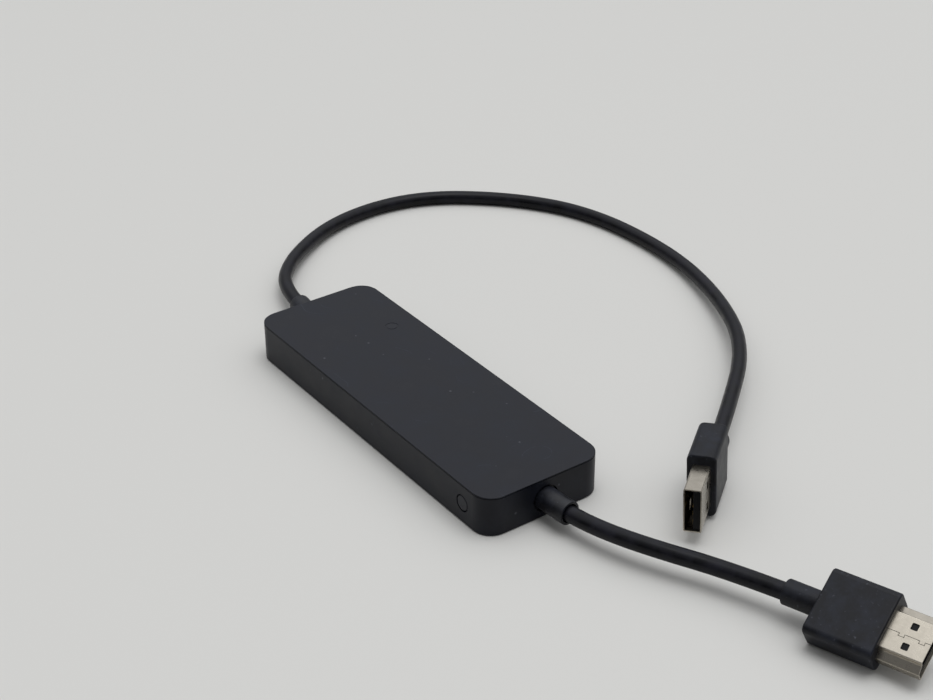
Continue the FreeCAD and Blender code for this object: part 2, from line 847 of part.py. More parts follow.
def power_insert():
    """The dark tongue on one side of the shell, on a block that closes the shell's back."""
    front = power_shell_out - insert_recess
    block = power_shell_solid(power_shell_sheet, -power_shell_in, front)
    inside = power_shell_thickness / 2 - power_shell_sheet
    width = power_shell_width / 2
    block = block.cut(box(0, front, -inside, inside - power_tongue_thickness, -width, width))
    for z in power_contact_places():
        block = block.cut(power_contact(z))
    return block


def power_contact_places():
    return [(k - (power_contacts - 1) / 2) * power_contact_pitch for k in range(power_contacts)]


def power_contact(z):
    """One contact strip, let into the tongue so that half of its thickness stands proud."""
    front = power_shell_out - insert_recess - contact_width
    face = power_shell_thickness / 2 - power_shell_sheet - power_tongue_thickness
    y0 = face - contact_thickness / 2
    return box(front - power_contact_length, front, y0, y0 + contact_thickness,
               z - power_contact_width / 2, z + power_contact_width / 2)


def power_contact_set():
    return Part.makeCompound([power_contact(z) for z in power_contact_places()])


def power_inner_mould():
    x0 = -power_grip_length + power_cord_in_grip
    return inner_mould(x0, -power_shell_in, power_shell_thickness, power_shell_width - 2 * mould_margin)


def power_grip():
    body = grip(power_grip_length, power_grip_thickness, power_grip_width, power_grip_round,
                power_grip_end_round, power_sleeve_length, power_sleeve_diameter, power_sleeve_round)
    body = body.cut(power_shell_solid(0, -power_shell_in, 0))
    body = body.cut(power_inner_mould())
    back = -power_grip_length - power_sleeve_length
    bore_end = -power_grip_length + power_cord_in_grip
    return body.cut(rod(power_cord_diameter, Vector(back, 0, 0), Vector(bore_end, 0, 0)))


def cord(name, points, diameter):
    """A cord, with its length, bend radii, volume and lowest point printed."""
    solid, radii, length = tube(points, diameter)
    expected = math.pi * diameter ** 2 / 4 * length
    print(name, "length", round(length, 1), "bend radii", [round(r, 1) for r in radii])
    print(name, "volume against section times length", round(solid.Volume / expected, 5),
          "lowest point", round(solid.optimalBoundingBox(True, False).ZMin, 3))
    return solid


save("bottom_tray", bottom_tray())
save("top_cover", top_cover())
save("status_window", status_window())
save("status_led", chip(window_x, window_y, led_length, led_width, led_height))
save("side_button", side_button())
save("push_switch", push_switch())
save("switch_plunger", switch_plunger())
save("circuit_board", circuit_board())
save("board_screws", board_screws())
save("processor", chip(processor_x, processor_y, processor_size, processor_size, processor_height))
save("thermal_pad", thermal_pad())
save("heat_sink", heat_sink())
save("memory_chips", memory_chips())
save("flash_chip", chip(shield_x, flash_y, flash_length, flash_width, flash_height))
save("screen_driver", chip(driver_x, 0, driver_size, driver_size, driver_height))
save("radio_chip", chip(shield_x, shield_y, radio_size, radio_size, radio_height))
save("shield_frame", shield_frame())
save("shield_can", shield_can())
save("near_antenna", antenna(-1))
save("far_antenna", antenna(1))
save("voltage_regulator", chip(supply_x, regulator_y, regulator_size, regulator_size, regulator_height))
save("power_inductors", power_inductors())
save("bulk_capacitors", bulk_capacitors())
save("crystal", crystal())
save("small_passives", small_passives())
save("screen_strain_relief", strain_relief(1, screen_collar_diameter, screen_cord_diameter))
save("power_strain_relief", strain_relief(-1, power_collar_diameter, power_cord_diameter))
save("screen_cord_clamp", cord_clamp(1, screen_cord_diameter))
save("power_cord_clamp", cord_clamp(-1, power_cord_diameter))
save("screen_wire_ends", wire_ends(1, screen_pad_row))
save("power_wire_ends", wire_ends(-1, power_pad_row))
save("screen_cord", cord("screen cord", screen_cord_points, screen_cord_diameter))
save("power_cord", cord("power cord", power_cord_points, power_cord_diameter))

screen_plug = plug_placement(screen_cord_points, screen_grip_length - screen_cord_in_grip, screen_plug_roll)
save("screen_plug_grip", placed(screen_grip(), screen_plug))
save("screen_plug_shell", placed(screen_shell(), screen_plug))
save("screen_plug_insert", placed(screen_insert(), screen_plug))
save("screen_plug_contacts", placed(screen_contact_set(), screen_plug))
save("screen_inner_mould", placed(screen_inner_mould(), screen_plug))

power_plug = plug_placement(power_cord_points, power_grip_length - power_cord_in_grip, power_plug_roll)
save("power_plug_grip", placed(power_grip(), power_plug))
save("power_plug_shell", placed(power_shell(), power_plug))
save("power_plug_insert", placed(power_insert(), power_plug))
save("power_plug_contacts", placed(power_contact_set(), power_plug))
save("power_inner_mould", placed(power_inner_mould(), power_plug))
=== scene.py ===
import json
import math

import bmesh
import bpy
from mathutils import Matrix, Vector


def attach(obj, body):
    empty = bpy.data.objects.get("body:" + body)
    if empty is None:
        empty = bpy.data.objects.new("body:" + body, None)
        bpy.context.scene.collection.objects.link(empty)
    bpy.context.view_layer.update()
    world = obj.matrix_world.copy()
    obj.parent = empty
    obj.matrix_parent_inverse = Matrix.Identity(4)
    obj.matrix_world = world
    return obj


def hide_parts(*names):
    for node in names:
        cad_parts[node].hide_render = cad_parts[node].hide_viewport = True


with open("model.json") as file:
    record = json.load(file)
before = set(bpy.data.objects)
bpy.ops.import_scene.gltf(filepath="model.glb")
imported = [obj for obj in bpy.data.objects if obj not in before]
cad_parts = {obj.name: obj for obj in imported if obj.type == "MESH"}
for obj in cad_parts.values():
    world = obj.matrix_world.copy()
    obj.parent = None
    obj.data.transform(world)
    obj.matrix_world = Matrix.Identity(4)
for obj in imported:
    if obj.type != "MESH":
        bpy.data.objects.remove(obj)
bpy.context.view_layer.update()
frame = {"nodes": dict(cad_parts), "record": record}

nodes = frame["nodes"]
metre = 1000  # in millimetres, the unit of the cords, the strain reliefs and the patterns
print("frame loaded,", len(nodes), "CAD nodes")


# An sRGB hex colour as linear red, green, blue and alpha
def linear(hexValue):
    parts = [int(hexValue[i:i + 2], 16) / 255 for i in (1, 3, 5)]
    return [c / 12.92 if c <= 0.04045 else ((c + 0.055) / 1.055) ** 2.4 for c in parts] + [1.0]


# Fills a node's inputs: a socket is linked, a hex colour made linear, anything else set as it is
def fill(tree, node, values):
    for name, value in values.items():
        if isinstance(value, bpy.types.NodeSocket):
            tree.links.new(value, node.inputs[name])
        else:
            node.inputs[name].default_value = linear(value) if isinstance(value, str) else value


# Adds a node; inputs go by name, or by number where a node has two of one name
def add(tree, kind, values=None, **settings):
    node = tree.nodes.new("ShaderNode" + kind)
    for name, value in settings.items():
        setattr(node, name, value)
    fill(tree, node, values or {})
    return node


# The numbers of a Mix node's sockets when it mixes colours
mixShare, mixFrom, mixTo, mixed = 0, 6, 7, 2
finishes = {}


# A new material, kept under the record's slot or the pieces that it is for; gives its tree and its shader
def newFinish(name, slot):
    material = bpy.data.materials.new(name)
    material.use_nodes = True
    finishes[slot] = material
    return material.node_tree, material.node_tree.nodes["Principled BSDF"]


def addObject(name, data):
    piece = bpy.data.objects.new(name, data)
    bpy.context.scene.collection.objects.link(piece)
    return piece


# The camera, at the photograph's angle: eye and near limit in metres, turn in degrees, lens and film in
# millimetres
camera = {
    "eye": (0.34457, -0.22929, 0.27015),
    "turn": (58.978, 0.276, 54.477),
    "lens": 70.587,
    "film": 36,
    "near": 0.01,
}
lens = bpy.data.cameras.new("camera")
lens.lens = camera["lens"]
lens.sensor_width = camera["film"]
lens.clip_start = camera["near"]
viewer = addObject("camera", lens)
viewer.location = camera["eye"]
viewer.rotation_euler = [math.radians(a) for a in camera["turn"]]
bpy.context.scene.camera = viewer

# How finely the cords and strain reliefs are made: a cord's steps between two points and its bevel's
# resolution, of which 7 gives 18 sides, a relief's steps all round and over its rim, and the angle in
# degrees past which an edge stays sharp
fineness = {"along": 20, "bevel": 7, "round": 96, "rim": 3, "sharp": 40}

# The cords: route, exit, diameter and length in millimetres, and what each carries
screenCord = {
    "points": [(48.0, 0.0, 5.5), (58.5, 0.0, 5.5), (70.0, 1.5, 5.72), (84.5, 5.9, 6.5), (106.6, 17.6, 6.35),
               (130.0, 24.6, 7.44)],
    "diameter": 4.4,
    "length": 86.7,
    "exit": (63.3, 0.0, 5.5),
    "carries": ["screen_plug_grip", "screen_plug_shell", "screen_plug_insert", "screen_plug_contacts",
                "screen_inner_mould"],
}
powerCord = {
    "points": [(-48.0, 0.0, 5.5), (-72.0, 0.0, 5.5), (-92.2, 13.2, 3.7), (-109.6, 41.0, 2.3),
               (-109.2, 71.8, 2.15), (-89.5, 96.9, 2.15), (-65.0, 111.6, 2.15), (-28.5, 114.0, 2.4),
               (3.0, 104.8, 4.2), (31.5, 88.2, 7.0), (54.9, 60.4, 8.0), (70.8, 39.6, 9.0)],
    "diameter": 4.2,
    "length": 333.2,
    "exit": (-63.3, 0.0, 5.5),
    "carries": ["power_plug_grip", "power_plug_shell", "power_plug_insert", "power_plug_contacts",
                "power_inner_mould"],
}


# The route as a smooth spline; its points hold the tube's radius, so a bevel of 1 gives the tube, 0 a line
def makeRoute(name, facts, bevel):
    line = bpy.data.curves.new(name, "CURVE")
    line.dimensions = "3D"
    line.resolution_u = fineness["along"]
    line.bevel_depth = bevel
    line.bevel_resolution = fineness["bevel"]
    line.use_fill_caps = True
    spline = line.splines.new("NURBS")
    spline.points.add(len(facts["points"]) - 1)
    for point, place in zip(spline.points, facts["points"]):
        point.co = [v / metre for v in place] + [1.0]
        point.radius = facts["diameter"] / 2 / metre
    spline.order_u = 3
    spline.use_endpoint_u = True
    return addObject(name, line)


def makeCord(name, facts, node):
    cord = makeRoute(name, facts, 1)
    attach(cord, "adapter")
    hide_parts(node)
    return cord


screenLead = makeCord("screenLead", screenCord, "screen_cord")
powerLead = makeCord("powerLead", powerCord, "power_cord")
print("camera and cords placed")

# The strain reliefs, bent with their cords, in millimetres: which end, the outline as (distance from the
# box's middle, radius), and the rounding of the mouth's rim
screenRelief = {
    "side": 1,
    "outline": [(49.7, 2.15), (49.7, 3.6), (50.9, 3.6), (50.9, 2.7), (52.3, 2.7), (52.3, 3.8), (53.5, 3.8),
                (53.5, 3.2), (55.0, 3.2), (57.2, 3.2), (59.4, 3.2), (61.6, 3.2), (63.7, 3.2), (63.7, 2.55),
                (62.4, 2.5), (60.4, 2.35), (58.4, 2.2), (55.0, 2.15)],
    "rimRound": 0.22,
}
powerRelief = {
    "side": -1,
    "outline": [(49.7, 2.05), (49.7, 3.5), (50.9, 3.5), (50.9, 2.6), (52.3, 2.6), (52.3, 3.7), (53.5, 3.7),
                (53.5, 3.1), (55.0, 3.1), (57.4, 3.1), (59.8, 3.1), (62.2, 3.1), (64.6, 3.1), (64.6, 2.45),
                (63.2, 2.4), (61.2, 2.25), (59.2, 2.1), (55.0, 2.05)],
    "rimRound": 0.4,
}


# The outline is spun round, the mouth's rim rounded, and every point then carried over to the cord's line
def makeRelief(name, facts, cord, node):
    form = bmesh.new()
    corners = [form.verts.new((facts["side"] * x / metre, 0, r / metre)) for x, r in facts["outline"]]
    edges = [form.edges.new((a, b)) for a, b in zip(corners, corners[1:] + corners[:1])]
    bmesh.ops.spin(form, geom=corners + edges, axis=(1, 0, 0), cent=(0, 0, 0), angle=math.tau,
                   steps=fineness["round"], use_merge=True)
    mouth, radius = max(facts["outline"])
    miss = 0.01  # how many millimetres a corner may be short of the rim
    rim = []
    for edge in form.edges:
        places = [(abs(v.co.x) * metre, v.co.yz.length * metre) for v in edge.verts]
        if all(x > mouth - miss and r > radius - miss for x, r in places):
            rim.append(edge)
    bmesh.ops.bevel(form, geom=rim, offset=facts["rimRound"] / metre, segments=fineness["rim"], profile=0.5,
                    affect="EDGES", material=-1)
    bmesh.ops.recalc_face_normals(form, faces=form.faces)

    route = makeRoute(name + "Route", cord, 0)
    line = bpy.data.meshes.new_from_object(route)
    stations = [v.co.copy() for v in line.vertices]
    bpy.data.objects.remove(route)
    bpy.data.meshes.remove(line)
    for vert in form.verts:
        k = next(i for i, s in enumerate(stations) if i and abs(s.x) >= abs(vert.co.x))
        before, after = stations[k - 1], stations[k]
        share = (vert.co.x - before.x) / (after.x - before.x)
        turn = Vector((facts["side"], 0, 0)).rotation_difference(after - before)
        vert.co = before.lerp(after, share) + turn @ Vector((0, vert.co.y, vert.co.z))

    mesh = bpy.data.meshes.new(name)
    form.to_mesh(mesh)
    form.free()
    mesh.shade_smooth()
    mesh.set_sharp_from_angle(angle=math.radians(fineness["sharp"]))
    relief = addObject(name, mesh)
    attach(relief, "adapter")
    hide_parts(node)
    return relief


screenCollar = makeRelief("screenCollar", screenRelief, screenCord, "screen_strain_relief")
powerCollar = makeRelief("powerCollar", powerRelief, powerCord, "power_strain_relief")
print("strain reliefs bent along their cords")

# The floor, the sky and one soft lamp, in metres; the sky is bright overhead and dim on the camera's side
studio = {
    "floor": {"Base Color": "#D6D6D4", "Roughness": 0.9, "Specular IOR Level": 0.2},
    "floorReach": 4,
    "backdrop": "#D2D4D8",
    "overhead": {"From Min": 0.25, "From Max": 0.85, "To Min": 0.15, "To Max": 1.15},
    "cameraSide": (0.581, -0.814, 0.0),
    "dimming": {"From Min": -0.1, "From Max": 0.6, "To Min": 1.0, "To Max": 0.36},
    "mirroredRise": {"From Min": 0.3, "From Max": 0.6, "To Min": 0.45, "To Max": 2.0},
    "lamp": {"at": (0.16, 0.17, 2.2), "aim": (0, 0.03, 0), "size": 1.6, "watts": 16.0},
}
floorShape = bmesh.new()
bmesh.ops.create_grid(floorShape, x_segments=1, y_segments=1, size=studio["floorReach"])
floorMesh = bpy.data.meshes.new("floor")
floorShape.to_mesh(floorMesh)
floorShape.free()
floor = addObject("floor", floorMesh)
sheet = bpy.data.materials.new("paleSheet")
sheet.use_nodes = True
fill(sheet.node_tree, sheet.node_tree.nodes["Principled BSDF"], studio["floor"])
floorMesh.materials.append(sheet)

softbox = bpy.data.lights.new("softbox", "AREA")
softbox.shape = "DISK"
softbox.size = studio["lamp"]["size"]
softbox.energy = studio["lamp"]["watts"]
holder = addObject("softbox", softbox)
holder.location = studio["lamp"]["at"]
beam = Vector(studio["lamp"]["aim"]) - holder.location
holder.rotation_euler = beam.to_track_quat("-Z", "Y").to_euler()

world = bpy.data.worlds.new("studio")
world.use_nodes = True
bpy.context.scene.world = world
sky = world.node_tree
direction = add(sky, "TexCoord").outputs["Generated"]
height = add(sky, "VectorMath", {0: direction, 1: (0, 0, 1)}, operation="DOT_PRODUCT")
overhead = add(sky, "MapRange", {"Value": height.outputs["Value"], **studio["overhead"]})
toCamera = add(sky, "VectorMath", {0: direction, 1: studio["cameraSide"]}, operation="DOT_PRODUCT")
dimming = add(sky, "MapRange", {"Value": toCamera.outputs["Value"], **studio["dimming"]},
              interpolation_type="SMOOTHSTEP")
level = add(sky, "Math", {0: overhead.outputs["Result"], 1: dimming.outputs["Result"]}, operation="MULTIPLY")
lit = add(sky, "Background", {"Color": "#FFFFFF", "Strength": level.outputs["Value"]})

# The camera sees the backdrop at least at full strength, and gloss mirrors it, dimmer low down and
# towards the camera's side
rays = add(sky, "LightPath")
rise = add(sky, "MapRange", {"Value": height.outputs["Value"], **studio["mirroredRise"]})
shaded = add(sky, "Math", {0: dimming.outputs["Result"], 1: rise.outputs["Result"]}, operation="MULTIPLY")
shown = add(sky, "Math", {0: rays.outputs["Is Camera Ray"], 1: shaded.outputs["Value"]}, operation="MAXIMUM")
seen = add(sky, "Background", {"Color": studio["backdrop"], "Strength": shown.outputs["Value"]})
mirrored = add(sky, "Math", {0: rays.outputs["Is Glossy Ray"], 1: rays.outputs["Is Transmission Ray"]},
               operation="MAXIMUM")
backed = add(sky, "Math", {0: rays.outputs["Is Camera Ray"], 1: mirrored.outputs["Value"]},
             operation="MAXIMUM")
chosen = add(sky, "MixShader", {0: backed.outputs["Value"], 1: lit.outputs["Background"],
                                2: seen.outputs["Background"]})
fill(sky, sky.nodes["World Output"], {"Surface": chosen.outputs["Shader"]})
bpy.context.scene.view_settings.view_transform = "Standard"
print("floor and light set")

# Each finish below has its colours, its patterns' sizes in millimetres, and settings under the names of the
# sockets that they are for, bump distances in metres

# ABS moulded in a spark-eroded tool: near black and cool, with a soft sheen, faint clouds, hairlines and
# dust; the real grain is about 0.1 mm, drawn coarser so that it shows
caseFinish = {
    "base": "#070914",
    "worn": "#151821",
    "hairline": "#2C303C",
    "dust": "#4E5058",
    "cloud": 9.0,
    "scuff": 26.0,
    "dustCell": 4.6,
    "grain": 0.35,
    "wornClouds": {"From Min": 0.4, "From Max": 0.68},
    "scuffRings": 24.0,
    "scuffLine": {"From Max": 0.03, "To Min": 1.0, "To Max": 0.0},
    "scuffBreaks": {"From Min": 0.55, "From Max": 0.62},
    "dustSizes": {"From Min": 0.35, "From Max": 0.9, "To Min": 0.01, "To Max": 0.11},
    "sheen": {"From Min": 0.3, "From Max": 0.7, "To Min": 0.36, "To Max": 0.5},
    "bump": {"Strength": 0.25, "Distance": 0.00002},
    "specular": 0.23,
}
tree, surface = newFinish("texturedAbs", "case_plastic")
place = add(tree, "TexCoord").outputs["Object"]
cloud = add(tree, "TexNoise", {"Vector": place, "Scale": metre / caseFinish["cloud"], "Detail": 5.0,
                               "Roughness": 0.6})
rubbed = add(tree, "MapRange", {"Value": cloud.outputs["Fac"], **caseFinish["wornClouds"]})
skin = add(tree, "Mix", {mixShare: rubbed.outputs["Result"], mixFrom: caseFinish["base"],
                         mixTo: caseFinish["worn"]}, data_type="RGBA")
swirl = add(tree, "TexNoise", {"Vector": place, "Scale": metre / caseFinish["scuff"], "Detail": 1.0})
rings = add(tree, "Math", {0: swirl.outputs["Fac"], 1: caseFinish["scuffRings"]}, operation="MULTIPLY")
ridge = add(tree, "Math", {0: rings.outputs["Value"], 1: 1.0}, operation="PINGPONG")
hairline = add(tree, "MapRange", {"Value": ridge.outputs["Value"], **caseFinish["scuffLine"]})
broken = add(tree, "MapRange", {"Value": cloud.outputs["Fac"], **caseFinish["scuffBreaks"]})
scuff = add(tree, "Math", {0: hairline.outputs["Result"], 1: broken.outputs["Result"]}, operation="MULTIPLY")
scuffed = add(tree, "Mix", {mixShare: scuff.outputs["Value"], mixFrom: skin.outputs[mixed],
                            mixTo: caseFinish["hairline"]}, data_type="RGBA")
cells = add(tree, "TexVoronoi", {"Vector": place, "Scale": metre / caseFinish["dustCell"]})
size = add(tree, "MapRange", {"Value": cells.outputs["Color"], **caseFinish["dustSizes"]})
speck = add(tree, "MapRange", {"Value": cells.outputs["Distance"], "From Max": size.outputs["Result"],
                               "To Min": 1.0, "To Max": 0.0})
dusty = add(tree, "Mix", {mixShare: speck.outputs["Result"], mixFrom: scuffed.outputs[mixed],
                          mixTo: caseFinish["dust"]}, data_type="RGBA")
sheen = add(tree, "MapRange", {"Value": cloud.outputs["Fac"], **caseFinish["sheen"]})
grain = add(tree, "TexNoise", {"Vector": place, "Scale": metre / caseFinish["grain"], "Detail": 2.0})
bump = add(tree, "Bump", {"Height": grain.outputs["Fac"], **caseFinish["bump"]})
fill(tree, surface, {"Base Color": dusty.outputs[mixed], "Roughness": sheen.outputs["Result"],
                     "Specular IOR Level": caseFinish["specular"], "Normal": bump.outputs["Normal"]})

# Extruded soft vinyl of the cords: black with a cool cast and a waxy shine; its peel of about 0.2 mm is
# drawn coarser so that it shows
jacketFinish = {
    "base": "#06060A",
    "waxy": "#181820",
    "patch": 4.0,
    "peel": 0.5,
    "waxyPatches": {"From Min": 0.4, "From Max": 0.7},
    "sheen": {"From Min": 0.3, "From Max": 0.7, "To Min": 0.26, "To Max": 0.46},
    "bump": {"Strength": 0.2, "Distance": 0.00003},
    "specular": 0.178,
}
tree, surface = newFinish("extrudedVinyl", "soft_jacket")
place = add(tree, "TexCoord").outputs["Object"]
patch = add(tree, "TexNoise", {"Vector": place, "Scale": metre / jacketFinish["patch"], "Detail": 4.0,
                               "Roughness": 0.6})
bloom = add(tree, "MapRange", {"Value": patch.outputs["Fac"], **jacketFinish["waxyPatches"]})
skin = add(tree, "Mix", {mixShare: bloom.outputs["Result"], mixFrom: jacketFinish["base"],
                         mixTo: jacketFinish["waxy"]}, data_type="RGBA")
sheen = add(tree, "MapRange", {"Value": patch.outputs["Fac"], **jacketFinish["sheen"]})
peel = add(tree, "TexNoise", {"Vector": place, "Scale": metre / jacketFinish["peel"], "Detail": 1.0})
bump = add(tree, "Bump", {"Height": peel.outputs["Fac"], **jacketFinish["bump"]})
fill(tree, surface, {"Base Color": skin.outputs[mixed], "Roughness": sheen.outputs["Result"],
                     "Specular IOR Level": jacketFinish["specular"], "Normal": bump.outputs["Normal"]})

# The grips are the same vinyl, moulded: duller, with a blue-grey film of handling in patches; the real
# grain is about 0.1 mm, drawn coarser
gripFinish = {
    "base": "#06070E",
    "film": "#1D2029",
    "dust": "#3E4049",
    "patch": 4.5,
    "fleck": 0.9,
    "grain": 0.3,
    "filmPatches": {"From Min": 0.42, "From Max": 0.66},
    "dustFlecks": {"From Min": 0.67, "From Max": 0.79},
    "sheen": {"From Min": 0.35, "From Max": 0.65, "To Min": 0.4, "To Max": 0.54},
    "bump": {"Strength": 0.25, "Distance": 0.00003},
    "specular": 0.24,
}
tree, surface = newFinish("mouldedVinyl", "grips")
place = add(tree, "TexCoord").outputs["Object"]
patch = add(tree, "TexNoise", {"Vector": place, "Scale": metre / gripFinish["patch"], "Detail": 6.0,
                               "Roughness": 0.65})
handled = add(tree, "MapRange", {"Value": patch.outputs["Fac"], **gripFinish["filmPatches"]})
skin = add(tree, "Mix", {mixShare: handled.outputs["Result"], mixFrom: gripFinish["base"],
                         mixTo: gripFinish["film"]}, data_type="RGBA")
flecks = add(tree, "TexNoise", {"Vector": place, "Scale": metre / gripFinish["fleck"], "Detail": 2.0})
speck = add(tree, "MapRange", {"Value": flecks.outputs["Fac"], **gripFinish["dustFlecks"]})
dusty = add(tree, "Mix", {mixShare: speck.outputs["Result"], mixFrom: skin.outputs[mixed],
                          mixTo: gripFinish["dust"]}, data_type="RGBA")
sheen = add(tree, "MapRange", {"Value": patch.outputs["Fac"], **gripFinish["sheen"]})
grain = add(tree, "TexNoise", {"Vector": place, "Scale": metre / gripFinish["grain"], "Detail": 2.0})
bump = add(tree, "Bump", {"Height": grain.outputs["Fac"], **gripFinish["bump"]})
fill(tree, surface, {"Base Color": dusty.outputs[mixed], "Roughness": sheen.outputs["Result"],
                     "Specular IOR Level": gripFinish["specular"], "Normal": bump.outputs["Normal"]})

# The strain reliefs are less handled than the grips, and shine a little more
reliefFinish = {"Specular IOR Level": 0.36}
finishes["reliefs"] = finishes["grips"].copy()
finishes["reliefs"].name = "reliefVinyl"
reliefTree = finishes["reliefs"].node_tree
fill(reliefTree, reliefTree.nodes["Principled BSDF"], reliefFinish)

# Bright nickel on drawn steel sheet: warm grey and smudged, with painted shade in the mouths and seams;
# its rolling marks of about 0.03 mm are drawn coarser so that they show
plateFinish = {
    "bright": "#B7B0A3",
    "dull": "#938D82",
    "paintedShade": "#1C1916",
    "smudge": 1.6,
    "marks": 0.25,
    "shadeReach": 3.0,
    "open": {"From Min": 0.15, "From Max": 0.55},
    "sheen": {"From Min": 0.3, "From Max": 0.7, "To Min": 0.24, "To Max": 0.36},
    "bump": {"Strength": 0.12, "Distance": 0.00002},
}
tree, surface = newFinish("nickelPlate", "plated_shell")
place = add(tree, "TexCoord").outputs["Object"]
smudge = add(tree, "TexNoise", {"Vector": place, "Scale": metre / plateFinish["smudge"], "Detail": 4.0,
                                "Roughness": 0.6})
metal = add(tree, "Mix", {mixShare: smudge.outputs["Fac"], mixFrom: plateFinish["bright"],
                          mixTo: plateFinish["dull"]}, data_type="RGBA")
# Painted shade: a near-black colour is mixed in wherever ambient occlusion finds the metal closed in, as in
# the mouths, seams and roots
openness = add(tree, "AmbientOcclusion", {"Distance": plateFinish["shadeReach"] / metre}, samples=8)
unshaded = add(tree, "MapRange", {"Value": openness.outputs["AO"], **plateFinish["open"]})
shadedMetal = add(tree, "Mix", {mixShare: unshaded.outputs["Result"], mixFrom: plateFinish["paintedShade"],
                         mixTo: metal.outputs[mixed]}, data_type="RGBA")
sheen = add(tree, "MapRange", {"Value": smudge.outputs["Fac"], **plateFinish["sheen"]})
marks = add(tree, "TexNoise", {"Vector": place, "Scale": metre / plateFinish["marks"], "Detail": 2.0})
bump = add(tree, "Bump", {"Height": marks.outputs["Fac"], **plateFinish["bump"]})
fill(tree, surface, {"Base Color": shadedMetal.outputs[mixed], "Metallic": 1.0,
                     "Roughness": sheen.outputs["Result"], "Normal": bump.outputs["Normal"]})

# Glass laminate under green solder mask: glossy, with the copper's lighter tracks showing through, drawn
# wider than real
boardFinish = {
    "mask": "#12452B",
    "tracks": "#1F6B43",
    "trackPitch": 1.2,
    "weave": 0.5,
    "trackGrid": {"Mortar Size": 0.12, "Brick Width": 6.0, "Row Height": 1.0},
    "bump": {"Strength": 0.15, "Distance": 0.00002},
    "roughness": 0.3,
}
tree, surface = newFinish("solderMask", "board_laminate")
place = add(tree, "TexCoord").outputs["Object"]
tracks = add(tree, "TexBrick", {"Vector": place, "Scale": metre / boardFinish["trackPitch"],
                                "Color1": boardFinish["mask"], "Color2": boardFinish["mask"],
                                "Mortar": boardFinish["tracks"], **boardFinish["trackGrid"]})
weave = add(tree, "TexNoise", {"Vector": place, "Scale": metre / boardFinish["weave"], "Detail": 1.0})
bump = add(tree, "Bump", {"Height": weave.outputs["Fac"], **boardFinish["bump"]})
fill(tree, surface, {"Base Color": tracks.outputs["Color"], "Roughness": boardFinish["roughness"],
                     "Normal": bump.outputs["Normal"]})

# Hot-tinned steel sheet: pale and soft, with dull crystal patches
tinFinish = {
    "light": "#C9CACB",
    "dark": "#A8AAAC",
    "crystal": 1.4,
    "sheen": {"To Min": 0.28, "To Max": 0.45},
}
tree, surface = newFinish("tinnedSheet", "tinned_steel")
place = add(tree, "TexCoord").outputs["Object"]
crystal = add(tree, "TexVoronoi", {"Vector": place, "Scale": metre / tinFinish["crystal"]})
tone = add(tree, "Mix", {mixShare: crystal.outputs["Distance"], mixFrom: tinFinish["light"],
                         mixTo: tinFinish["dark"]}, data_type="RGBA")
sheen = add(tree, "MapRange", {"Value": crystal.outputs["Distance"], **tinFinish["sheen"]})
fill(tree, surface, {"Base Color": tone.outputs[mixed], "Metallic": 1.0,
                     "Roughness": sheen.outputs["Result"]})

# Thin vinyl of the wires: bands of colour across the fan, one to a wire
wireFinish = {
    "colours": ["#A5322D", "#1D1D1F", "#2D6B3F", "#D9D6CE", "#2C4E8F"],
    "pitch": 1.3,
    "roughness": 0.4,
}
tree, surface = newFinish("wireVinyl", "wire_insulation")
place = add(tree, "TexCoord").outputs["Object"]
apart = add(tree, "SeparateXYZ", {"Vector": place})
count = len(wireFinish["colours"])
turns = add(tree, "Math", {0: apart.outputs["Y"], 1: metre / (wireFinish["pitch"] * count)},
            operation="MULTIPLY")
within = add(tree, "Math", {0: turns.outputs["Value"]}, operation="FRACT")
bands = add(tree, "ValToRGB", {"Fac": within.outputs["Value"]})
stops = bands.color_ramp.elements
bands.color_ramp.interpolation = "CONSTANT"
for k, colour in enumerate(wireFinish["colours"]):
    stop = stops[k] if k < len(stops) else stops.new(k / count)  # a new ramp has two stops
    stop.position = k / count
    stop.color = linear(colour)
fill(tree, surface, {"Base Color": bands.outputs["Color"], "Roughness": wireFinish["roughness"]})


# A plainer finish: its base mottled with a second colour by noise, and a bump where it has one
def mottle(name, slot, facts):
    tree, surface = newFinish(name, slot)
    place = add(tree, "TexCoord").outputs["Object"]
    if "stretch" in facts:
        place = add(tree, "Mapping", {"Vector": place, "Scale": facts["stretch"]}).outputs["Vector"]
    grain = add(tree, "TexNoise", {"Vector": place, "Scale": metre / facts["grain"],
                                   "Detail": facts["detail"]})
    tone = add(tree, "Mix", {mixShare: grain.outputs["Fac"], mixFrom: facts["base"], mixTo: facts["second"]},
               data_type="RGBA")
    fill(tree, surface, {"Base Color": tone.outputs[mixed], **facts["shader"]})
    if "bump" in facts:
        bump = add(tree, "Bump", {"Height": grain.outputs["Fac"], **facts["bump"]})
        fill(tree, surface, {"Normal": bump.outputs["Normal"]})


# The button's cap is the case's ABS from a finer tool; the real grain is about 0.05 mm, drawn coarser
buttonFinish = {
    "base": "#080A14",
    "second": "#171A24",
    "grain": 0.3,
    "detail": 3.0,
    "bump": {"Strength": 0.15, "Distance": 0.00002},
    "shader": {"Roughness": 0.42, "Specular IOR Level": 0.28},
}
mottle("fineAbs", "button_plastic", buttonFinish)

# Glass-filled liquid crystal polymer in the plugs' mouths: black, with pale flow marks; the fibres of
# 0.01 mm are drawn as marks coarse enough to show
insertFinish = {
    "base": "#020203",
    "second": "#08080C",
    "grain": 0.4,
    "detail": 3.0,
    "shader": {"Roughness": 0.45, "Specular IOR Level": 0.18},
}
mottle("filledPolymer", "black_insulator", insertFinish)

# Hard gold flashed over nickel on the contacts: deep yellow, mottled where it is thin, coarser than real so
# that it shows
contactFinish = {
    "base": "#E5BE68",
    "second": "#CDAF7A",
    "grain": 0.6,
    "detail": 2.0,
    "shader": {"Metallic": 1.0, "Roughness": 0.28},
}
mottle("goldFlash", "gold_contact", contactFinish)

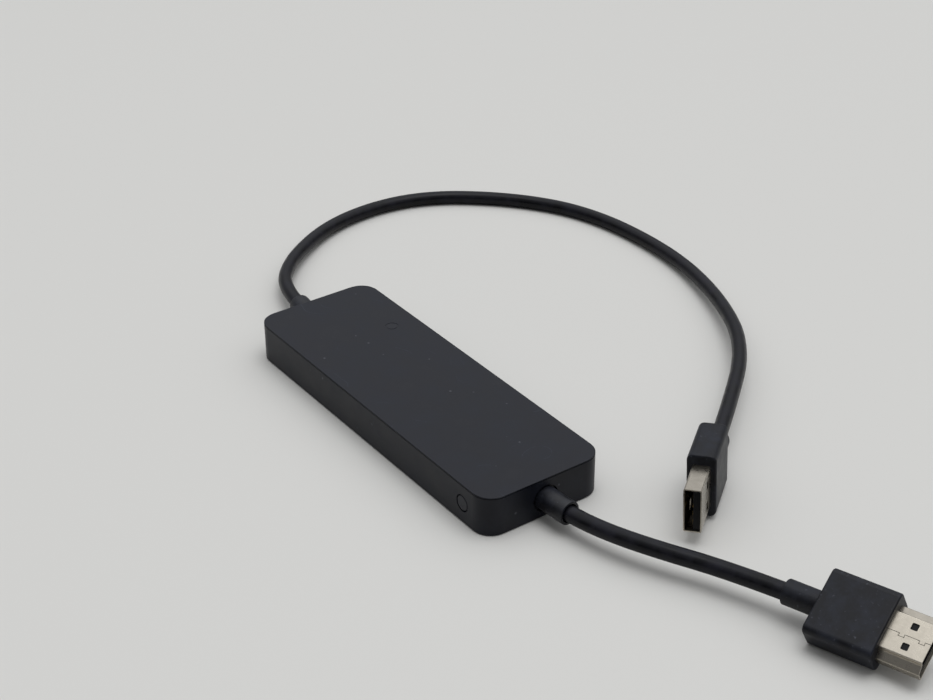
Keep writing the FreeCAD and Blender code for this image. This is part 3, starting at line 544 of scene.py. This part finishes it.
# Filled epoxy of chip bodies, moulded: charcoal with a sandy matte skin, its sand of 0.03 mm drawn coarser
chipFinish = {
    "base": "#17181A",
    "second": "#2B2C2F",
    "grain": 0.15,
    "detail": 2.0,
    "bump": {"Strength": 0.3, "Distance": 0.00001},
    "shader": {"Roughness": 0.55, "Specular IOR Level": 0.4},
}
mottle("chipEpoxy", "chip_plastic", chipFinish)

# Extruded aluminium, clear anodised: satin, with lines of 0.05 mm along the extrusion, drawn coarser
sinkFinish = {
    "base": "#C7C9CC",
    "second": "#AEB1B5",
    "stretch": (0.03, 1.0, 1.0),
    "grain": 0.2,
    "detail": 2.0,
    "bump": {"Strength": 0.2, "Distance": 0.00001},
    "shader": {"Metallic": 1.0, "Roughness": 0.4},
}
mottle("anodisedExtrusion", "sink_aluminium", sinkFinish)

# Cast silicone gap pad: dull grey-blue, speckled with its filler of 0.05 mm, drawn coarser
padFinish = {
    "base": "#8793A1",
    "second": "#B3BCC6",
    "grain": 0.3,
    "detail": 3.0,
    "shader": {"Roughness": 0.7, "Specular IOR Level": 0.35},
}
mottle("filledSilicone", "pad_silicone", padFinish)

# Pressed and sintered ferrite of the coils: iron grey, fine pores of 0.02 mm, drawn coarser
ferriteFinish = {
    "base": "#2E2F31",
    "second": "#45474A",
    "grain": 0.2,
    "detail": 3.0,
    "bump": {"Strength": 0.4, "Distance": 0.00001},
    "shader": {"Roughness": 0.6},
}
mottle("sinteredFerrite", "ferrite", ferriteFinish)

# Fired ceramic of small capacitors and resistors: tan, slightly glazed
ceramicFinish = {
    "base": "#8E7453",
    "second": "#B39A76",
    "grain": 0.8,
    "detail": 2.0,
    "shader": {"Roughness": 0.42},
}
mottle("firedCeramic", "passive_ceramic", ceramicFinish)

# Smoked polycarbonate of the light pipe: as dark as the case, with a faint haze
pipeFinish = {
    "base": "#080A14",
    "second": "#11141F",
    "grain": 0.8,
    "detail": 2.0,
    "shader": {"Roughness": 0.42, "Specular IOR Level": 0.25},
}
mottle("smokedPolycarbonate", "light_pipe", pipeFinish)

# Low-pressure moulding inside the plugs: milky polyethylene with faint flow clouds
mouldFinish = {
    "base": "#DCD9D0",
    "second": "#C6C2B6",
    "grain": 2.5,
    "detail": 2.0,
    "shader": {"Roughness": 0.4},
}
mottle("milkyPolyethylene", "mould_plastic", mouldFinish)

# Zinc-plated screw steel: blue-grey, with the die's marks of 0.05 mm, drawn coarser
screwFinish = {
    "base": "#B9BCC1",
    "second": "#979BA2",
    "grain": 0.15,
    "detail": 2.0,
    "shader": {"Metallic": 1.0, "Roughness": 0.35},
}
mottle("zincPlate", "screw_steel", screwFinish)

# Every node gets its slot's finish, and then the grips and the pieces made here get their own
dressed = [(nodes[row["node"]], row["material_slot"]) for row in frame["record"]["subparts"]]
dressed += [(screenLead, "soft_jacket"), (powerLead, "soft_jacket")]
dressed += [(nodes["screen_plug_grip"], "grips"), (nodes["power_plug_grip"], "grips")]
dressed += [(screenCollar, "reliefs"), (powerCollar, "reliefs")]
for piece, finish in dressed:
    piece.data.materials.clear()
    piece.data.materials.append(finishes[finish])
print("materials given")
